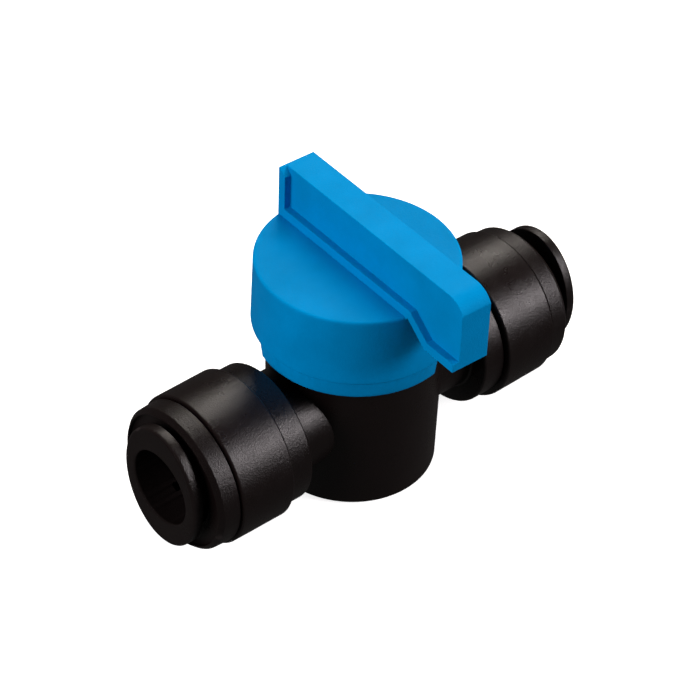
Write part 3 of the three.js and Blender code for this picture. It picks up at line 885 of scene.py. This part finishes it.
def tooth():
    """One steel tooth, on the +X side of the axis, with cut corners at its tip."""
    cut_along, cut_across = 0.35, 0.5
    outline = [
        (TOOTH_ROOT, -TOOTH_HALF),
        (TOOTH_ROOT, TOOTH_HALF),
        (TOOTH_TIP + cut_along, TOOTH_HALF),
        (TOOTH_TIP, TOOTH_HALF - cut_across),
        (TOOTH_TIP, -TOOTH_HALF + cut_across),
        (TOOTH_TIP + cut_along, -TOOTH_HALF),
    ]
    made = prism("tooth", outline, TOOTH_PLACE, TOOTH_PLACE + TOOTH_THICKNESS, upright)
    return soften(made, 0.06, 2)


STILL = [
    ("seat", seat, SEAT_PLASTIC),
    ("seat_seal", seat_seal, RUBBER),
    ("port_socket", port_socket, BLACK),
    ("tube_seal", tube_seal, RUBBER),
    ("seal_spacer", seal_spacer, TRIM),
    ("cartridge", cartridge, TRIM),
]

for word, side, pushed_in in (("left", -1, LEFT_COLLET_IN), ("right", 1, 0)):
    lay = along_pipe(side)
    for name, build, material in STILL:
        finish_piece(move(build(), lay), f"{name}_{word}", material)
    slid = lay @ Matrix.Translation((0, 0, -pushed_in))
    finish_piece(move(collet(), slid), f"collet_{word}", TRIM)
    for i in range(FINGERS):
        turn = Matrix.Rotation(2 * math.pi * i / FINGERS, 4, "Z")
        finish_piece(move(tooth(), slid @ turn), f"collet_tooth_{word}_{i + 1}", STEEL)


# ---- Studio ----------------------------------------------------------------------------

def direction(azimuth, elevation):
    """The unit vector from the valve towards an azimuth (0 is -Y, 90 is +X) and elevation."""
    a, e = math.radians(azimuth), math.radians(elevation)
    return Vector((math.sin(a) * math.cos(e), -math.cos(a) * math.cos(e), math.sin(e)))


def softbox(name, azimuth, elevation, distance, width, height, power, colour):
    """A soft rectangular light aimed at the valve. Its sizes are in metres, power in watts."""
    middle_height = 0.015
    data = bpy.data.lights.new(name, "AREA")
    data.shape = "RECTANGLE"
    data.size = width
    data.size_y = height
    data.energy = power
    data.color = colour
    lamp = bpy.data.objects.new(name, data)
    towards = direction(azimuth, elevation)
    lamp.location = Vector((0, 0, middle_height)) + towards * distance
    lamp.rotation_euler = towards.to_track_quat("Z", "Y").to_euler()
    bpy.context.scene.collection.objects.link(lamp)
    return lamp


def camera():
    """The viewing angle of a product photograph: above the front left, with a long lens."""
    azimuth, elevation, roll = -42.25, 40.73, math.radians(2.35)
    distance = 0.35883
    aim_height, aim_left, aim_up = 0.01166, 0.000339, 0.003827
    data = bpy.data.cameras.new("camera")
    data.sensor_width = 36
    data.lens = 140.63
    made = bpy.data.objects.new("camera", data)
    back = direction(azimuth, elevation)
    level = Vector((math.cos(math.radians(azimuth)), math.sin(math.radians(azimuth)), 0))
    rise = back.cross(level)
    right = level * math.cos(roll) + rise * math.sin(roll)
    up = rise * math.cos(roll) - level * math.sin(roll)
    aim = Vector((0, 0, aim_height)) - right * aim_left + up * aim_up
    axes = Matrix((right, up, back)).transposed().to_4x4()
    made.matrix_world = Matrix.Translation(aim + back * distance) @ axes
    bpy.context.scene.collection.objects.link(made)
    bpy.context.scene.camera = made


def floor():
    """A plain white floor just under the valve, which stays bright all over."""
    half_size, drop = 3, 0.0002
    mesh = bmesh.new()
    bmesh.ops.create_grid(mesh, x_segments=1, y_segments=1, size=half_size)
    made = to_object("floor", mesh)
    made.location.z = -drop
    material = bpy.data.materials.new("floor_white")
    material.use_nodes = True
    shader = material.node_tree.nodes["Principled BSDF"]
    shader.inputs["Base Color"].default_value = (0.8, 0.8, 0.8, 1)
    shader.inputs["Roughness"].default_value = 0.9
    shader.inputs["Emission Color"].default_value = (1, 1, 1, 1)
    shader.inputs["Emission Strength"].default_value = 0.85
    made.data.materials.append(material)
    made.visible_diffuse = False
    made.visible_glossy = False


def world():
    """A dim room, which the camera sees as white."""
    dim, white = 0.05, 1.0
    made = bpy.data.worlds.new("room")
    bpy.context.scene.world = made
    made.use_nodes = True
    nodes, links = made.node_tree.nodes, made.node_tree.links
    background = nodes["Background"]
    background.inputs["Color"].default_value = (1, 0.97, 0.95, 1)
    path = nodes.new("ShaderNodeLightPath")
    strength = nodes.new("ShaderNodeMapRange")
    strength.inputs["To Min"].default_value = dim
    strength.inputs["To Max"].default_value = white
    links.new(path.outputs["Is Camera Ray"], strength.inputs["Value"])
    links.new(strength.outputs["Result"], background.inputs["Strength"])


camera()
floor()
world()

# The first two lights make the highlights. The fills light only what is matt.
softbox("front_right_light", 34.6, 26, 0.5, 0.16, 0.16, 1.35, (1.0, 0.92, 0.94))
softbox("back_light", 132, 48, 0.5, 0.16, 0.16, 0.8, (1.0, 0.93, 0.86))
FILLS = [
    softbox("top_light", 132, 66, 0.5, 0.24, 0.24, 1.35, (1.0, 0.94, 0.84)),
    softbox("left_light", -95, 22, 0.6, 0.35, 0.3, 2.8, (0.95, 0.96, 1.0)),
    softbox("right_light", 62, 20, 0.6, 0.3, 0.3, 0.9, (1.0, 0.95, 0.98)),
]
for fill in FILLS:
    fill.visible_glossy = False
bpy.context.scene.view_settings.view_transform = "Standard"

bpy.context.view_layer.update()
